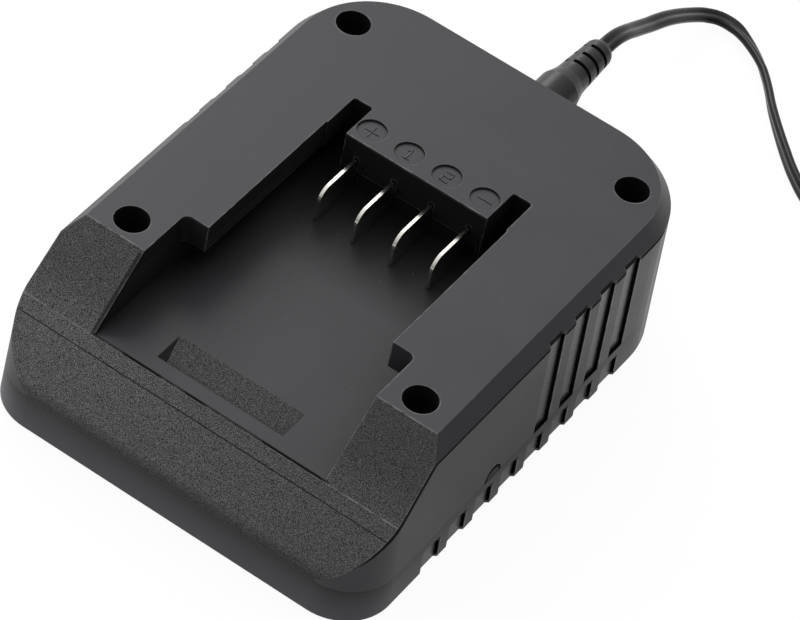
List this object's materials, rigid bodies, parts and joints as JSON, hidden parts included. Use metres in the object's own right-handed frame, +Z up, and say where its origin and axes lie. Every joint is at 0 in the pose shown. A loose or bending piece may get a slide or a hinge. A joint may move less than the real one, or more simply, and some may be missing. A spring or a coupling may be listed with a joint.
{
  "type": "power tool battery charger",
  "caption": "Slide-in battery charger: sloped-front housing with a railed bay and blade contacts, side louvres, and a plug-in low-voltage lead that ends in a mains adapter.",
  "frame": {"origin": "middle of the housing's bounding box, on the surface that its feet stand on", "axes": "+X to the housing's right as seen from its sloped front, +Y from the front to the plug, +Z up"},
  "size_m": [0.2178, 0.2167, 0.046],
  "materials": {
    "housing_plastic": "satin, fine spark grain on the nose",
    "tray_plastic": "satin",
    "holder_plastic": "matt",
    "board": "solder resist",
    "jack_plastic": "satin",
    "plated_steel": "nickel plated",
    "contact_metal": "nickel plated, stamped",
    "lens": "smoky clear",
    "lamp": "clear green",
    "capacitor_sleeve": "shrunk sleeve",
    "ferrite": "sintered, matt",
    "copper_wire": "enamelled",
    "heat_sink": "extruded",
    "chip_epoxy": "moulded epoxy",
    "screws": "zinc plated",
    "foot_rubber": "matt",
    "plug_plastic": "soft moulded",
    "brass_tip": "bright",
    "lead_jacket": "satin flexible jacket",
    "adapter_plastic": "satin",
    "mains_pins": "nickel plated",
    "transformer_tape": "taped"
  },
  "bodies": {
    "housing": {"upper_housing": "housing_plastic", "lower_housing": "tray_plastic", "contact_plus": "contact_metal", "contact_sense_a": "contact_metal", "contact_sense_b": "contact_metal", "contact_minus": "contact_metal", "terminal_holder": "holder_plastic", "circuit_board": "board", "jack_body": "jack_plastic", "jack_pin": "plated_steel", "jack_spring": "plated_steel", "lamp_window": "lens", "status_lamp": "lamp", "reservoir_capacitor": "capacitor_sleeve", "small_capacitors": "capacitor_sleeve", "inductor_core": "ferrite", "inductor_winding": "copper_wire", "heat_sink": "heat_sink", "power_transistor": "chip_epoxy", "controller_chip": "chip_epoxy", "fuse": "chip_epoxy", "surface_parts": "chip_epoxy", "case_screws": "screws", "board_screws": "screws", "foot_front_left": "foot_rubber", "foot_front_right": "foot_rubber", "foot_rear_left": "foot_rubber", "foot_rear_right": "foot_rubber"},
    "dc_plug": {"plug_sleeve": "plated_steel", "plug_insulator": "plug_plastic", "plug_tip": "brass_tip", "plug_grip": "plug_plastic", "lead_run": "lead_jacket", "lead_coil": "lead_jacket", "lead_tail": "lead_jacket", "adapter_relief": "plug_plastic", "adapter_cover": "adapter_plastic", "adapter_base": "adapter_plastic", "adapter_prong_left": "mains_pins", "adapter_prong_right": "mains_pins", "adapter_board": "board", "adapter_transformer": "transformer_tape"}
  },
  "joints": [
    {"name": "plug_slide", "type": "slide", "parent": "housing", "child": "dc_plug", "axis": [0, 1, 0], "range_m": [0, 0.012]}
  ]
}
